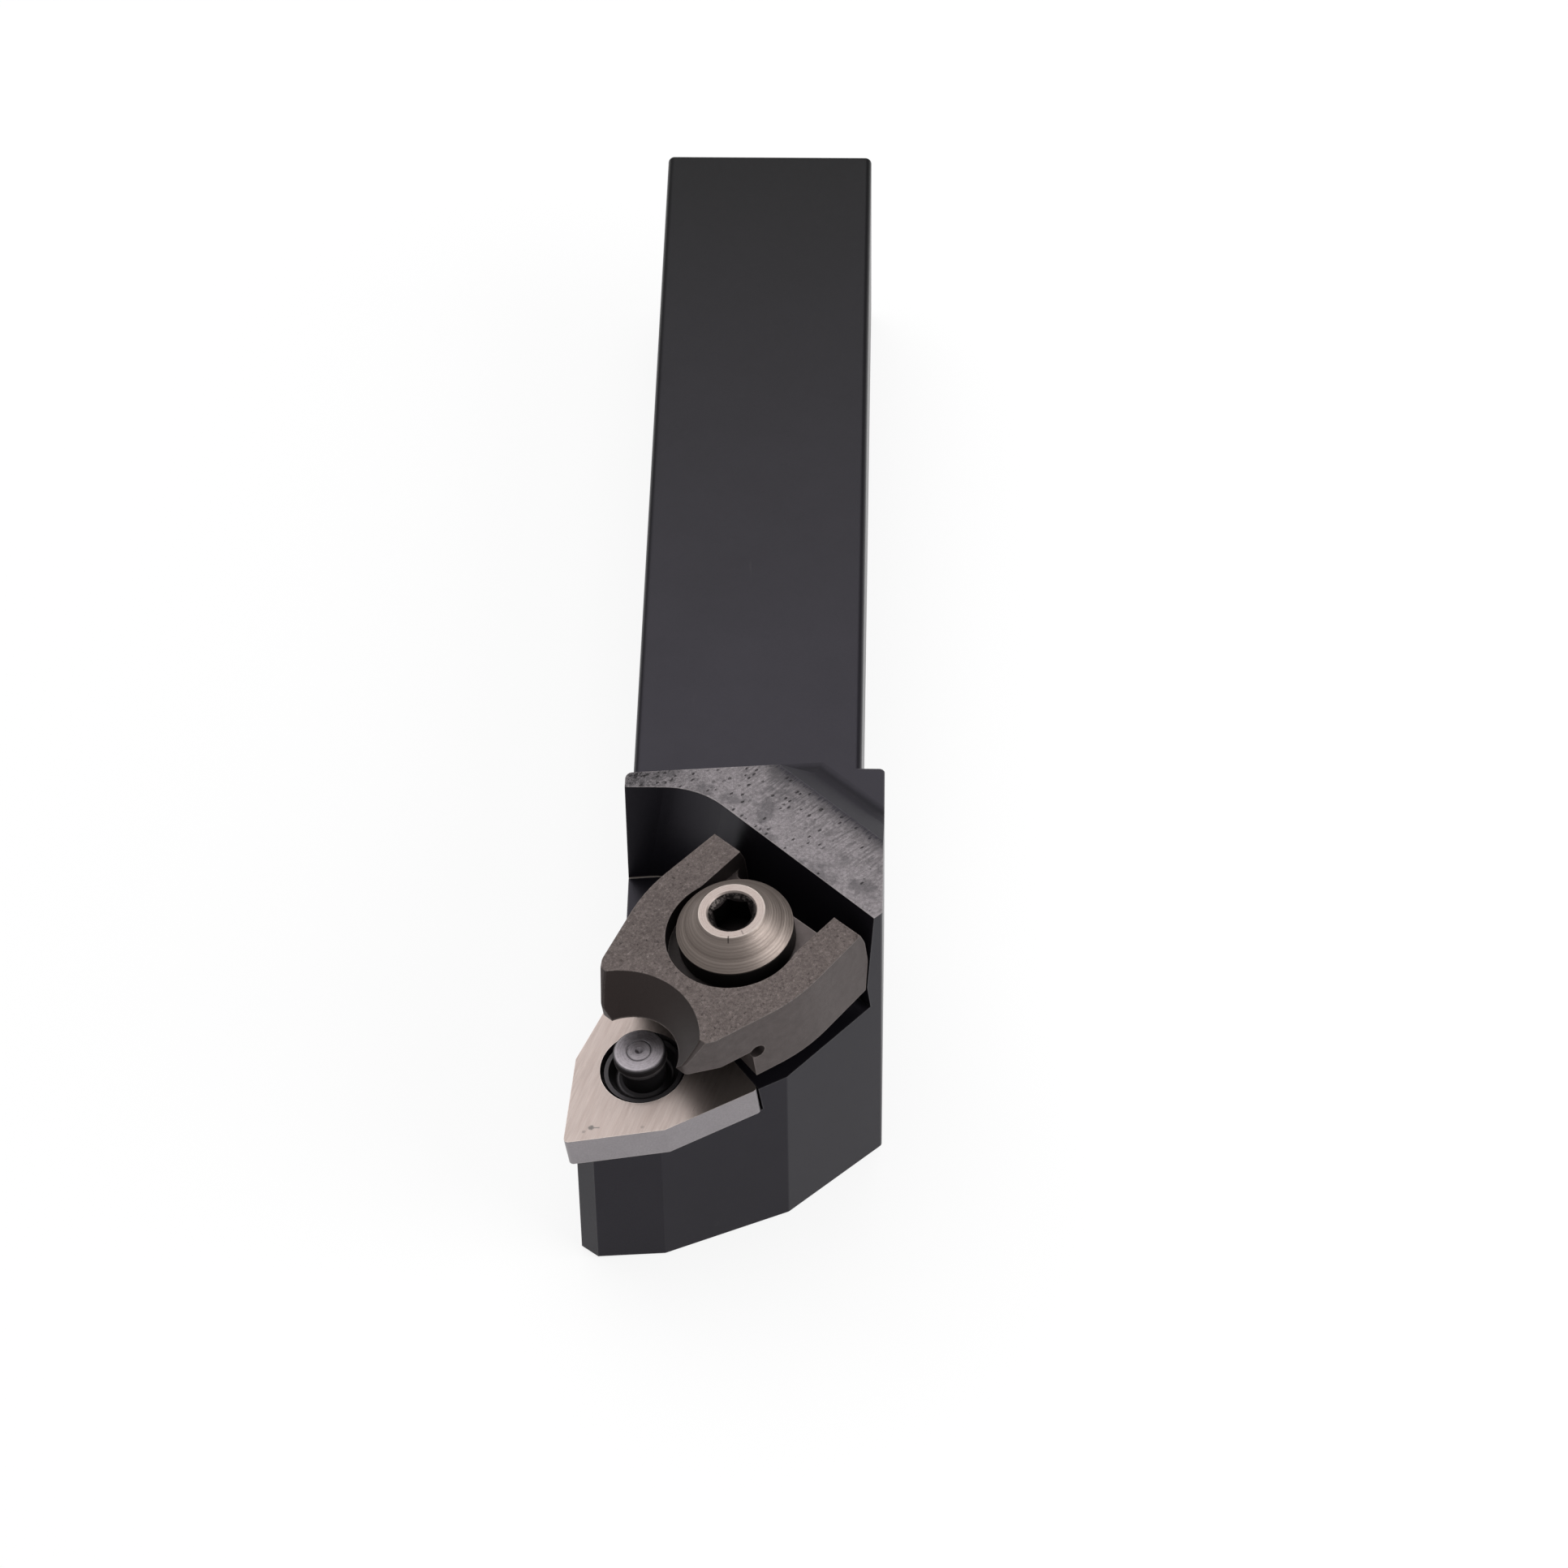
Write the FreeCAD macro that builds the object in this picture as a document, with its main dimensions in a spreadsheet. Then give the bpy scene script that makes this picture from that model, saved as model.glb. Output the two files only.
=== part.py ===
import FreeCAD, Part
import Sketcher
import math
import os

# Left-hand turning tool holder for a three-cornered indexable insert, with a wedge clamp.
# +Z is up, the shank runs along Y, and the cutting corner points to -Y and -X.
# The origin is on the base, in the middle of the length that the machine grips.

doc = FreeCAD.newDocument("turning_tool_holder")

# Driving sizes, in millimetres and degrees
SIZES = [
    # shank
    ("shank_width", 20),
    ("shank_height", 20),
    ("shank_length", 85),
    ("shank_rounding", 0.6),
    # head, with its plan measured back from the cutting corner and across from the shank's centreline
    ("head_length", 40),
    ("head_step", 2),
    ("tip_side", 15),
    ("front_right_back", 13.95),
    ("front_middle_side", 4.11),
    ("front_middle_back", 6.32),
    ("front_left_side", 6.3),
    ("front_left_back", 1.6),
    ("nose_side", 12.0),
    ("nose_back", 1.16),
    ("nose_flat_side", 13.45),
    ("nose_flat_back", 2.31),
    ("left_bend_side", 12.9),
    ("left_bend_back", 9.0),
    ("left_end_back", 15.2),
    ("head_rounding", 0.5),
    # raised land behind the pocket
    ("land_height", 9.4),
    ("land_back", 29.98),
    ("land_tilt", 4.9),
    ("land_diagonal", 34.2),
    ("land_run", 7.92),
    ("land_foot_radius", 3.0),
    # seat of the insert
    ("lead", 45),
    ("rake", 8.46),
    ("insert_circle", 12.7),
    ("insert_thickness", 4.76),
    ("corner_angle", 80),
    # pocket
    ("floor_depth", 0.5),
    ("wall_back", 28.3),
    ("wall_foot", 17.3),
    ("wall_foot_height", 2.4),
    ("wall_angle", 14),
    ("wall_corner_radius", 7.0),
    ("relief_back", 17.25),
    # shim and its hole
    ("shim_circle", 12.5),
    ("shim_thickness", 3.18),
    ("shim_corner_radius", 0.4),
    ("shim_gap", 0.15),
    ("shim_hole_radius", 3.65),
    ("shim_bore_radius", 2.75),
    # shim pin
    ("pin_top_radius", 2.25),
    ("pin_top_height", 2.43),
    ("pin_step_height", 1.5),
    ("pin_collar_radius", 2.1),
    ("pin_neck_radius", 1.9),
    ("pin_flange_radius", 3.35),
    ("pin_rim_depth", 0.35),
    ("pin_seat_depth", 1.5),
    ("pin_shank_radius", 2.5),
    ("pin_depth", 11.0),
    ("pin_fit", 0.05),
    ("pin_side", 0.55),
    # wedge clamp
    ("clamp_side", 0.8),
    ("clamp_turn", 1.8),
    ("clamp_top", 9.1),
    ("clamp_bottom", 2.05),
    ("clamp_rear_half", 8.45),
    ("clamp_middle_half", 8.95),
    ("clamp_middle_back", 9.2),
    ("clamp_front_half", 6.65),
    ("clamp_front_back", 1.9),
    ("nose_reach", 0.5),
    ("nose_bottom", 5.4),
    ("nose_land", 1.0),
    ("nose_slope_run", 1.8),
    ("lobe_half", 4.9),
    ("leg_back", 6.0),
    ("leg_spread", 10),
    ("leg_groove_radius", 0.65),
    ("leg_groove_height", 5.05),
    ("scallop_low_radius", 4.2),
    ("scallop_low_reach", 2.35),
    ("scallop_top_radius", 7.5),
    ("scallop_top_reach", 3.84),
    ("arm_gap", 0.15),
    ("arm_knee", 3.3),
    ("slot_half", 5.5),
    ("web_back", 16.1),
    ("web_top", 7.2),
    ("counterbore_radius", 5.75),
    ("counterbore_back", 10.85),
    # clamp screw, with the travel of the clamp from where it stands
    ("screw_back", 11.3),
    ("screw_side", 0.5),
    ("screw_radius", 3.0),
    ("screw_fit", 0.05),
    ("screw_slot_gap", 0.65),
    ("screw_depth", 10.75),
    ("head_radius", 4.93),
    ("head_gap", 0.1),
    ("head_shoulder", 9.2),
    ("head_top", 11.3),
    ("head_top_radius", 2.8),
    ("socket_width", 3.0),
    ("socket_mouth_radius", 2.15),
    ("socket_depth", 3.0),
    ("travel_up", 4.0),
    ("travel_down", 1.5),
    # retaining ring
    ("ring_radius", 4.0),
    ("ring_thickness", 0.8),
    ("ring_gap", 0.1),
    ("ring_top", 4.1),
    ("groove_radius", 2.5),
    ("ring_mouth", 1.6),
]

sheet = doc.addObject("Spreadsheet::Sheet", "Sizes")
for row, (alias, value) in enumerate(SIZES, 1):
    sheet.set("A%d" % row, alias)
    sheet.set("B%d" % row, str(value))
    sheet.setAlias("B%d" % row, alias)
doc.recompute()


def value_of(expression):
    """The number that an expression on the sheet comes to now."""
    return float(sheet.evalExpression(expression))


def size(text):
    """An expression in which every sheet name in square brackets reads from the sheet."""
    return text.replace("[", "Sizes.").replace("]", "")


def new_body(label):
    """An empty body for one piece."""
    body = doc.addObject("PartDesign::Body", label)
    body.Label = label
    return body


def base_plane(body, role):
    """One of the body's own origin planes."""
    for feature in body.Origin.OriginFeatures:
        if feature.Role == role:
            return feature
    raise ValueError(role)


def new_sketch(body, name, support, height=None):
    """A sketch on a plane, moved along the plane's normal by an expression if one is given."""
    sketch = body.newObject("Sketcher::SketchObject", name)
    sketch.AttachmentSupport = [(support, "")]
    sketch.MapMode = "FlatFace"
    if height is not None:
        offset = "placement(vector(0; 0; %s); rotation(0; 0; 0))" % size(height)
        sketch.setExpression("AttachmentOffset", offset)
    doc.recompute()
    return sketch


def bind(sketch, kind, *parts):
    """A dimension whose last part is an expression."""
    expression = parts[-1]
    index = sketch.addConstraint(Sketcher.Constraint(kind, *parts[:-1], value_of(expression)))
    sketch.setExpression("Constraints[%d]" % index, expression)


def draw_outline(sketch, corners):
    """A closed outline of sharp corners (x, y) and rounded corners (x, y, radius), all expressions."""
    corners = [tuple(size(part) for part in corner) for corner in corners]
    count = len(corners)
    points = [FreeCAD.Vector(value_of(corner[0]), value_of(corner[1]), 0) for corner in corners]
    line_from = list(points)
    line_to = list(points)
    rounded = {}
    for i, corner in enumerate(corners):
        if len(corner) == 3:
            radius = value_of(corner[2])
            before = (points[i - 1] - points[i]).normalize()
            after = (points[(i + 1) % count] - points[i]).normalize()
            half = before.getAngle(after) / 2
            line_to[i] = points[i] + before * (radius / math.tan(half))
            line_from[i] = points[i] + after * (radius / math.tan(half))
            inward = (before + after).normalize()
            nearest = points[i] + inward * (radius / math.sin(half) - radius)
            rounded[i] = Part.Arc(line_to[i], nearest, line_from[i])
    for i in range(count):
        sketch.addGeometry(Part.LineSegment(line_from[i], line_to[(i + 1) % count]), False)
    for i, corner in enumerate(corners):
        line_in = (i - 1) % count
        if i in rounded:
            vertex = sketch.addGeometry(Part.Point(points[i]), True)
            bind(sketch, "DistanceX", -1, 1, vertex, 1, corner[0])
            bind(sketch, "DistanceY", -1, 1, vertex, 1, corner[1])
            sketch.addConstraint(Sketcher.Constraint("PointOnObject", vertex, 1, line_in))
            sketch.addConstraint(Sketcher.Constraint("PointOnObject", vertex, 1, i))
            arc = sketch.addGeometry(rounded[i], False)
            starts_on_line_in = sketch.getPoint(arc, 1).distanceToPoint(line_to[i]) < 1e-6
            first, last = (1, 2) if starts_on_line_in else (2, 1)
            sketch.addConstraint(Sketcher.Constraint("Tangent", line_in, 2, arc, first))
            sketch.addConstraint(Sketcher.Constraint("Tangent", arc, last, i, 1))
            bind(sketch, "Radius", arc, corner[2])
        else:
            sketch.addConstraint(Sketcher.Constraint("Coincident", line_in, 2, i, 1))
            bind(sketch, "DistanceX", -1, 1, i, 1, corner[0])
            bind(sketch, "DistanceY", -1, 1, i, 1, corner[1])
    doc.recompute()
    return sketch


def draw_circle(sketch, x, y, radius):
    """A full circle, its centre and radius given as expressions."""
    x, y, radius = size(x), size(y), size(radius)
    centre = FreeCAD.Vector(value_of(x), value_of(y), 0)
    circle = sketch.addGeometry(Part.Circle(centre, FreeCAD.Vector(0, 0, 1), value_of(radius)), False)
    bind(sketch, "DistanceX", -1, 1, circle, 3, x)
    bind(sketch, "DistanceY", -1, 1, circle, 3, y)
    bind(sketch, "Radius", circle, radius)
    doc.recompute()
    return sketch


def finish(body, feature):
    """Recompute after a feature and make it the body's tip."""
    body.Tip = feature
    doc.recompute()
    if "Invalid" in feature.State or feature.Shape.isNull() or not feature.Shape.isValid():
        raise RuntimeError(feature.Name + " did not build")
    return feature


def pad(body, name, sketch, length, reverse=False, both=False):
    """Material from a sketch along its normal."""
    feature = body.newObject("PartDesign::Pad", name)
    feature.Profile = sketch
    feature.setExpression("Length", size(length))
    feature.Reversed = reverse
    feature.SideType = "Symmetric" if both else "One side"
    return finish(body, feature)


def pocket(body, name, sketch, length=None, upward=True, both=False):
    """A cut from a sketch along its normal, or right through if no length is given."""
    before = body.Tip.Shape.Volume
    feature = body.newObject("PartDesign::Pocket", name)
    feature.Profile = sketch
    if length is None:
        feature.Type = "ThroughAll"
    else:
        feature.setExpression("Length", size(length))
    feature.Reversed = upward
    feature.SideType = "Symmetric" if both else "One side"
    finish(body, feature)
    if not feature.Shape.Volume < before - 1e-3:
        raise RuntimeError(name + " cut nothing")
    return feature


def loft_cut(body, name, first, second):
    """A straight-sided cut between two outlines."""
    feature = body.newObject("PartDesign::SubtractiveLoft", name)
    feature.Profile = first
    feature.Sections = [second]
    feature.Ruled = True
    return finish(body, feature)


def turned(body, name, sketch, cut=False):
    """A full turn of a profile about its sketch's vertical axis, added or cut away."""
    feature = body.newObject("PartDesign::Groove" if cut else "PartDesign::Revolution", name)
    feature.Profile = sketch
    feature.ReferenceAxis = (sketch, ["V_Axis"])
    feature.Angle = 360
    return finish(body, feature)


def edges_where(body, test):
    """Names of the tip's edges that pass a test on the edge's ends, middle and direction."""
    names = []
    for number, edge in enumerate(body.Tip.Shape.Edges, 1):
        if len(edge.Vertexes) == 2:
            start, end = edge.Vertexes[0].Point, edge.Vertexes[1].Point
            middle = edge.valueAt((edge.FirstParameter + edge.LastParameter) / 2)
            if test(start, end, middle, (end - start).normalize()):
                names.append("Edge%d" % number)
    return names


def round_edges(body, name, names, radius):
    """A fillet on named edges of the tip."""
    before = body.Tip
    feature = body.newObject("PartDesign::Fillet", name)
    feature.Base = (before, names)
    feature.setExpression("Radius", size(radius))
    return finish(body, feature)


# Seat frame
# Its origin is where the insert's hole meets the top of the shim. Its X points to the cutting corner,
# its Z is square to the seat, and it leans forward and to the left by the rake.
REACH = "[insert_circle] / 2 / sin([corner_angle] / 2)"
LEVEL = "(%s * cos([rake]) + [insert_thickness] * sin([rake]))" % REACH
TIP_Y = "(-[shank_length] / 2 - [head_length])"
SEAT_X = "(-[tip_side] + %s * cos([lead]))" % LEVEL
SEAT_Y = "(%s + %s * sin([lead]))" % (TIP_Y, LEVEL)
SEAT_Z = "([shank_height] + %s * sin([rake]) - [insert_thickness] * cos([rake]))" % REACH
SEAT = "placement(vector(%s; %s; %s); rotation(180 + [lead]; [rake]; 0))" % (SEAT_X, SEAT_Y, SEAT_Z)


def seat_placement(x="0", y="0", turn="0", roll="0"):
    """The seat frame as a placement expression, moved along its own X and Y and turned in itself."""
    return size("%s * placement(vector(%s; %s; 0); rotation(%s; 0; %s))" % (SEAT, x, y, turn, roll))


def behind_tip(distance):
    """A Y coordinate measured back from the cutting corner."""
    return "%s + (%s)" % (TIP_Y, distance)


# Holder body
# The shank and the head are milled from one bar. The head stands out past the shank on the right.
HEAD_SIDE = "([shank_width] / 2 + [head_step])"
holder = new_body("holder_body")
base = base_plane(holder, "XY_Plane")

head_plan = draw_outline(new_sketch(holder, "head_plan", base), [
    (HEAD_SIDE, "-[shank_length] / 2", "[head_rounding]"),
    ("-[shank_width] / 2", "-[shank_length] / 2"),
    ("-[shank_width] / 2", behind_tip("[left_end_back]")),
    ("-[left_bend_side]", behind_tip("[left_bend_back]")),
    ("-[nose_flat_side]", behind_tip("[nose_flat_back]")),
    ("-[nose_side]", behind_tip("[nose_back]")),
    ("-[front_left_side]", behind_tip("[front_left_back]")),
    ("[front_middle_side]", behind_tip("[front_middle_back]"), "[head_rounding]"),
    (HEAD_SIDE, behind_tip("[front_right_back]"), "[head_rounding]"),
])
pad(holder, "head_block", head_plan, "[shank_height]")

shank_plan = draw_outline(new_sketch(holder, "shank_plan", base), [
    ("-[shank_width] / 2", "-[shank_length] / 2 - [shank_width] / 2"),
    ("[shank_width] / 2", "-[shank_length] / 2 - [shank_width] / 2"),
    ("[shank_width] / 2", "[shank_length] / 2"),
    ("-[shank_width] / 2", "[shank_length] / 2"),
])
pad(holder, "shank", shank_plan, "[shank_height]")

land_plan = draw_outline(new_sketch(holder, "land_plan", base, "[shank_height]"), [
    ("-[shank_width] / 2", behind_tip("[left_end_back] + 5")),
    ("[front_middle_side]", behind_tip("[front_middle_back]"), "[head_rounding]"),
    (HEAD_SIDE, behind_tip("[front_right_back]"), "[head_rounding]"),
    (HEAD_SIDE, "-[shank_length] / 2", "[head_rounding]"),
    ("[shank_width] / 2", "-[shank_length] / 2"),
    ("[shank_width] / 2", "-[shank_length] / 2 + [shank_width] / 2"),
    ("-[shank_width] / 2", "-[shank_length] / 2 + [shank_width] / 2"),
])
pad(holder, "land_block", land_plan, "[land_height]")

# The pocket's floor is parallel to the seat. Its back is the wedge wall, square to the seat's X but
# leaning back, and its left end is a wall square across the shank.
seat = holder.newObject("PartDesign::Plane", "seat_plane")
seat.AttachmentSupport = [(base, "")]
seat.MapMode = "FlatFace"
seat.setExpression("AttachmentOffset", seat_placement())
doc.recompute()


def wall_x(height):
    """The wedge wall's place at a height above the seat."""
    return "(-[wall_foot] - (%s - [wall_foot_height]) * tan([wall_angle]))" % height


def upright_sketch(body, name, placement):
    """A sketch on the body's XY plane moved and turned by a placement expression."""
    sketch = body.newObject("Sketcher::SketchObject", name)
    sketch.AttachmentSupport = [(base_plane(body, "XY_Plane"), "")]
    sketch.MapMode = "FlatFace"
    sketch.setExpression("AttachmentOffset", placement)
    doc.recompute()
    return sketch


wedge_profile = draw_outline(upright_sketch(holder, "wedge_profile", seat_placement(roll="90")), [
    (wall_x("(-[floor_depth])"), "-[floor_depth]"),
    (wall_x("([land_height] + 6)"), "[land_height] + 6"),
    ("[head_length]", "[land_height] + 6"),
    ("[head_length]", "-[floor_depth]"),
])
pocket(holder, "wedge_wall_cut", wedge_profile, both=True)

left_plan = draw_outline(new_sketch(holder, "left_wall_plan", base, "[shank_height] / 2"), [
    ("-[shank_width] / 2", behind_tip("[wall_back]")),
    ("0", behind_tip("[wall_back]")),
    ("0", behind_tip("[wall_back] + 8")),
    ("-[shank_width] / 2", behind_tip("[wall_back] + 8")),
])
pad(holder, "left_wall", left_plan, "[shank_height] / 2 + [land_height]")


def in_wall_corner(start, end, middle, along):
    """Whether an edge is the one where the left wall meets the wedge wall."""
    back = value_of(size(behind_tip("[wall_back]")))
    level = abs(start.y - back) < 0.01 and abs(end.y - back) < 0.01
    return level and abs(along.z) > 0.9 and middle.x > -value_of("Sizes.shank_width / 2") + 0.5


round_edges(holder, "wall_corner", edges_where(holder, in_wall_corner), "[wall_corner_radius]")

# A relief runs along the foot of the wedge wall, so that the arms never meet a rounded corner there.
RELIEF_END = "([clamp_rear_half] + 1.2)"
relief_plan = draw_outline(new_sketch(holder, "relief_plan", seat, "-[floor_depth]"), [
    ("-[relief_back]", "[head_length]"),
    ("-[relief_back]", "-" + RELIEF_END, "0.6"),
    ("-[relief_back] + 2.5", "-" + RELIEF_END, "0.6"),
    ("-[relief_back] + 2.5", "[head_length]"),
])
pocket(holder, "wall_relief", relief_plan, "[floor_depth] + [wall_foot_height] - 0.2")

# The shim's own pocket follows the shim's two rear sides and runs out to the front.
SHIM_REAR = "([shim_circle] / 2 / cos(10))"
shim_plan = draw_outline(new_sketch(holder, "shim_plan", seat, "-[shim_thickness]"), [
    ("-%s - [shim_gap] / cos(10)" % SHIM_REAR, "0"),
    ("-%s - [shim_gap] / cos(10) + [head_length] * tan(10)" % SHIM_REAR, "-[head_length]"),
    ("[head_length]", "-[head_length]"),
    ("[head_length]", "[head_length]"),
    ("-%s - [shim_gap] / cos(10) + [head_length] * tan(10)" % SHIM_REAR, "[head_length]"),
])
pocket(holder, "shim_pocket", shim_plan, "[shim_thickness]")

pin_hole = draw_circle(new_sketch(holder, "pin_hole_plan", seat, "0"), "0", "-[pin_side]",
                       "[pin_shank_radius] + [pin_fit]")
pocket(holder, "pin_hole", pin_hole, "[pin_depth] + 0.8", upward=False)

screw_hole = draw_circle(new_sketch(holder, "screw_hole_plan", seat, "0"), "-[screw_back]", "[screw_side]",
                         "[screw_radius] + [screw_fit]")
pocket(holder, "screw_hole", screw_hole, "[screw_depth] + [travel_down] + 1.5", upward=False)


# The land's two flanks slope down to the shank's top and end there in a hollow curve.
def flank_cut(name, x, back, heading):
    """Cut one flank, given a point of the land's upper edge and the heading of its outward side."""
    place = "placement(vector(%s; %s; 0); rotation(%s; 0; 90))" % (x, behind_tip(back), heading)
    slope = "[land_run] / [land_height]"
    profile = draw_outline(upright_sketch(holder, name + "_profile", size(place)), [
        ("-(%s)" % slope, "[shank_height] + [land_height] + 1"),
        ("[land_run]", "[shank_height]", "[land_foot_radius]"),
        ("[head_length]", "[shank_height]"),
        ("[head_length]", "[shank_height] + [land_height] + 1"),
    ])
    pocket(holder, name, profile, both=True)


flank_cut("rear_flank", "-[shank_width] / 2", "[land_back]", "90 + [land_tilt]")
flank_cut("diagonal_flank", HEAD_SIDE, "[land_diagonal] - " + HEAD_SIDE, "45")


def along_shank(start, end, middle, along):
    """Whether an edge is one of the shank's long edges or round its rear end."""
    rear = value_of("Sizes.shank_length / 2")
    long_edge = abs(along.y) > 0.999 and max(start.y, end.y) > rear - 0.01
    return long_edge or (start.y > rear - 0.01 and end.y > rear - 0.01)


round_edges(holder, "shank_edges", edges_where(holder, along_shank), "[shank_rounding]")

# Shim
# A ground plate with three 80 degree corners, its hole stepped to hold the pin's flange.
shim = new_body("shim")
CORNER_REACH = "([shim_circle] / 2 / sin([corner_angle] / 2))"
shim_top = draw_outline(new_sketch(shim, "shim_outline", base_plane(shim, "XY_Plane")), [
    (CORNER_REACH, "0", "[shim_corner_radius]"),
    (SHIM_REAR + " * cos(60)", SHIM_REAR + " * sin(60)"),
    (CORNER_REACH + " * cos(120)", CORNER_REACH + " * sin(120)", "[shim_corner_radius]"),
    ("-" + SHIM_REAR, "0"),
    (CORNER_REACH + " * cos(120)", "-%s * sin(120)" % CORNER_REACH, "[shim_corner_radius]"),
    (SHIM_REAR + " * cos(60)", "-%s * sin(60)" % SHIM_REAR),
])
pad(shim, "plate", shim_top, "[shim_thickness]", reverse=True)

SEAT_STEP = "[shim_hole_radius] - [pin_flange_radius]"
shim_hole_place = size("placement(vector(0; -[pin_side]; 0); rotation(0; 0; 90))")
shim_hole = draw_outline(upright_sketch(shim, "shim_hole_profile", shim_hole_place), [
    ("0", "1"),
    ("[shim_hole_radius]", "1"),
    ("[shim_hole_radius]", "-[pin_seat_depth] + %s - 0.02" % SEAT_STEP),
    ("[shim_bore_radius]", "-[pin_seat_depth] - ([pin_flange_radius] - [shim_bore_radius]) - 0.02"),
    ("[shim_bore_radius]", "-[shim_thickness] - 1"),
    ("0", "-[shim_thickness] - 1"),
])
turned(shim, "hole", shim_hole, cut=True)
shim.setExpression("Placement", seat_placement())

# Shim pin
# A turned pin: the flange holds the shim down, and the head above the neck stands in the insert's hole.
pin = new_body("shim_pin")
pin_profile = draw_outline(new_sketch(pin, "pin_profile", base_plane(pin, "XZ_Plane")), [
    ("0", "[pin_top_height] - 0.3"),
    ("0.35", "[pin_top_height]"),
    ("[pin_top_radius] - 0.2", "[pin_top_height]"),
    ("[pin_top_radius]", "[pin_top_height] - 0.2"),
    ("[pin_top_radius]", "[pin_step_height]"),
    ("[pin_collar_radius]", "[pin_step_height] - 0.1"),
    ("[pin_collar_radius] - 0.1", "[pin_step_height] - 0.85"),
    ("[pin_neck_radius]", "[pin_step_height] - 0.95"),
    ("[pin_neck_radius]", "-[pin_rim_depth] - 0.75"),
    ("[pin_neck_radius] + 0.5", "-[pin_rim_depth] - 1.0", "0.3"),
    ("[pin_flange_radius] - 0.35", "-[pin_rim_depth]"),
    ("[pin_flange_radius]", "-[pin_rim_depth]"),
    ("[pin_flange_radius]", "-[pin_seat_depth]"),
    ("[pin_shank_radius]", "-[pin_seat_depth] - ([pin_flange_radius] - [pin_shank_radius])"),
    ("[pin_shank_radius]", "-[pin_depth] + 0.4"),
    ("[pin_shank_radius] - 0.4", "-[pin_depth]"),
    ("0", "-[pin_depth]"),
])
turned(pin, "turned_pin", pin_profile)
pin.setExpression("Placement", seat_placement("0", "-[pin_side]"))

# Wedge clamp
# Two arms at the rear bear on the wedge wall and two lobes at the nose press on the insert.
clamp = new_body("wedge_clamp")
flat = base_plane(clamp, "XY_Plane")
side = base_plane(clamp, "XZ_Plane")

clamp_plan = draw_outline(new_sketch(clamp, "clamp_plan", flat, "[clamp_bottom]"), [
    ("-[wall_foot] - 1.5", "-[clamp_rear_half]"),
    ("-[clamp_middle_back]", "-[clamp_middle_half]", "14"),
    ("-[clamp_front_back]", "-[clamp_front_half]", "1.2"),
    ("[nose_reach]", "-[lobe_half]", "0.6"),
    ("[nose_reach]", "[lobe_half]", "0.6"),
    ("-[clamp_front_back]", "[clamp_front_half]", "1.2"),
    ("-[clamp_middle_back]", "[clamp_middle_half]", "14"),
    ("-[wall_foot] - 1.5", "[clamp_rear_half]"),
])
pad(clamp, "blank", clamp_plan, "[clamp_top] - [clamp_bottom]")

# The arms' rear faces keep a small gap to the wedge wall below the knee and curve forward above it.
REAR_X = "(%s + [arm_gap] / cos([wall_angle]) + [clamp_rear_half] * sin([clamp_turn]))"
KNEE = "([clamp_bottom] + [arm_knee])"
arm_rear = draw_outline(new_sketch(clamp, "arm_rear", side), [
    (REAR_X % wall_x("([clamp_bottom] - 1)"), "[clamp_bottom] - 1"),
    (REAR_X % wall_x(KNEE), KNEE, "3"),
    ("%s" % (REAR_X % wall_x(KNEE)), "[clamp_top] - 1.3", "2"),
    ("%s + 0.35" % (REAR_X % wall_x(KNEE)), "[clamp_top]"),
    ("%s + 0.35" % (REAR_X % wall_x(KNEE)), "[clamp_top] + 1"),
    ("-[wall_foot] - 4", "[clamp_top] + 1"),
    ("-[wall_foot] - 4", "[clamp_bottom] - 1"),
])
pocket(clamp, "arm_rear_cut", arm_rear, both=True)

# The leg's front is a shallow V along the insert's two rear sides, with a round groove under the nose.
under_nose = draw_outline(new_sketch(clamp, "under_nose", flat, "[clamp_bottom]"), [
    ("-[leg_back]", "0"),
    ("-[leg_back] + [insert_circle] * tan([leg_spread])", "-[insert_circle]"),
    ("[insert_circle]", "-[insert_circle]"),
    ("[insert_circle]", "[insert_circle]"),
    ("-[leg_back] + [insert_circle] * tan([leg_spread])", "[insert_circle]"),
])
pocket(clamp, "under_nose_cut", under_nose, "[nose_bottom] - [clamp_bottom]")


def leg_groove(name, heading, offset):
    """A round groove from the clamp's middle out along one half of the leg's front."""
    place = "placement(vector(-[leg_back]; 0; 0); rotation(%s; 0; 90))" % heading
    sketch = upright_sketch(clamp, name + "_profile", size(place))
    profile = draw_circle(sketch, offset, "[leg_groove_height]", "[leg_groove_radius]")
    pocket(clamp, name, profile)


leg_groove("right_groove", "180 - [leg_spread]", "[leg_groove_radius] - 0.15")
leg_groove("left_groove", "[leg_spread]", "-[leg_groove_radius] + 0.15")

nose_slope = draw_outline(new_sketch(clamp, "nose_slope", side), [
    ("[nose_reach] + 0.01", "[nose_bottom] + [nose_land]"),
    ("[nose_reach] - [nose_slope_run]", "[clamp_top] + 0.1"),
    ("[nose_reach] + 3", "[clamp_top] + 0.1"),
    ("[nose_reach] + 3", "[nose_bottom] + [nose_land]"),
])
pocket(clamp, "nose_slope_cut", nose_slope, both=True)

# A conical hollow between the lobes clears the insert's hole and the chips.
scallop_low = new_sketch(clamp, "scallop_low", flat, "[nose_bottom]")
scallop_low = draw_circle(scallop_low, "[scallop_low_reach]", "0", "[scallop_low_radius]")
scallop_top = new_sketch(clamp, "scallop_top", flat, "[clamp_top]")
scallop_top = draw_circle(scallop_top, "[scallop_top_reach]", "0", "[scallop_top_radius]")
loft_cut(clamp, "scallop", scallop_low, scallop_top)

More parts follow.
